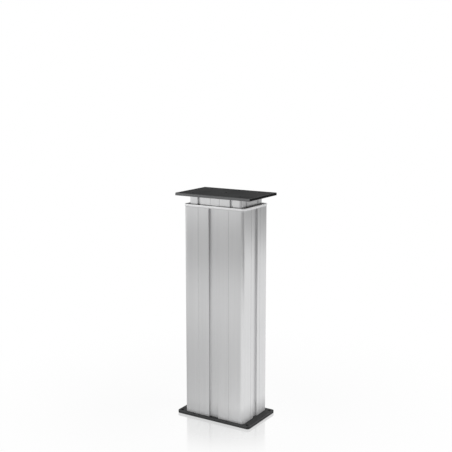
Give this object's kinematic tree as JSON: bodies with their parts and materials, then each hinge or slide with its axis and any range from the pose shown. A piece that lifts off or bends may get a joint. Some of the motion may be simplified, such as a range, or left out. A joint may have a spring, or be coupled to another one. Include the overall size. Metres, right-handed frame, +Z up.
{
  "type": "electric lifting column",
  "caption": "Electric lifting column: an aluminium profile telescopes out of a wider one, driven by a motor, gears and a lead screw, between black base and top plates.",
  "frame": {"origin": "centre of the base plate's underside", "axes": "+Z up along the stroke, X along the wide face, the front wide face looks towards -Y, the inlet socket is at the back"},
  "size_m": [0.252, 0.158, 0.678],
  "materials": {
    "outer_alu": "satin anodised, fine vertical grain",
    "inner_alu": "satin anodised, fine vertical grain",
    "collar_alu": "bright satin",
    "wiper_grey": "matt",
    "black_plate": "satin black powder coat",
    "black_screw": "black oxide",
    "white_glide": "natural acetal",
    "cast_alu": "die-cast",
    "steel": "turned",
    "motor_steel": "zinc and black paint",
    "bronze": "machined bronze",
    "gear_plastic": "moulded",
    "black_plastic": "fine matt",
    "circuit_board": "solder mask"
  },
  "bodies": {
    "base": {"base_plate": "black_plate", "base_screw_fl": "black_screw", "base_screw_fr": "black_screw", "base_screw_bl": "black_screw", "base_screw_br": "black_screw", "outer_profile": "outer_alu", "collar": "collar_alu", "wiper_ring": "wiper_grey", "upper_glide_left": "white_glide", "upper_glide_right": "white_glide", "gear_case": "cast_alu", "gear_cover": "cast_alu", "case_screw_1": "black_screw", "case_screw_2": "black_screw", "case_screw_3": "black_screw", "case_screw_4": "black_screw", "bearing_outer_ring": "steel", "cover_bush": "bronze", "gearhead": "motor_steel", "motor_can": "motor_steel", "motor_cap": "black_plastic", "hall_board": "circuit_board", "inlet_socket": "black_plastic", "motor_lead": "black_plastic"},
    "carriage": {"inner_profile": "inner_alu", "top_plate": "black_plate", "top_screw_fl": "black_screw", "top_screw_fr": "black_screw", "top_screw_bl": "black_screw", "top_screw_br": "black_screw", "push_tube": "steel", "push_head": "steel", "head_bolt": "black_screw", "drive_nut": "bronze", "nut_pin_front": "steel", "nut_pin_back": "steel", "lower_glide": "white_glide"},
    "spindle": {"lead_screw": "steel", "spindle_gear": "gear_plastic", "bearing_inner_ring": "steel", "bearing_balls": "steel", "bearing_nut": "steel", "end_stop": "steel", "end_stop_screw": "black_screw"},
    "motor_rotor": {"pinion_shaft": "steel", "pinion": "steel"}
  },
  "joints": [
    {"name": "lift", "type": "slide", "parent": "base", "child": "carriage", "axis": [0, 0, 1], "range_m": [0, 0.5]},
    {"name": "spindle_turn", "type": "hinge", "parent": "base", "child": "spindle", "pos_m": [0, 0, 0.018], "axis": [0, 0, 1], "range_deg": [-22500.1, 0]},
    {"name": "pinion_turn", "type": "hinge", "parent": "base", "child": "motor_rotor", "pos_m": [0.054, 0, 0.03], "axis": [0, 0, 1], "range_deg": [0, 67500.1]}
  ],
  "couplings": [
    {"joint": "spindle_turn", "follows": "lift", "rad_per_m": -785.4},
    {"joint": "pinion_turn", "follows": "lift", "rad_per_m": 2356.2}
  ]
}
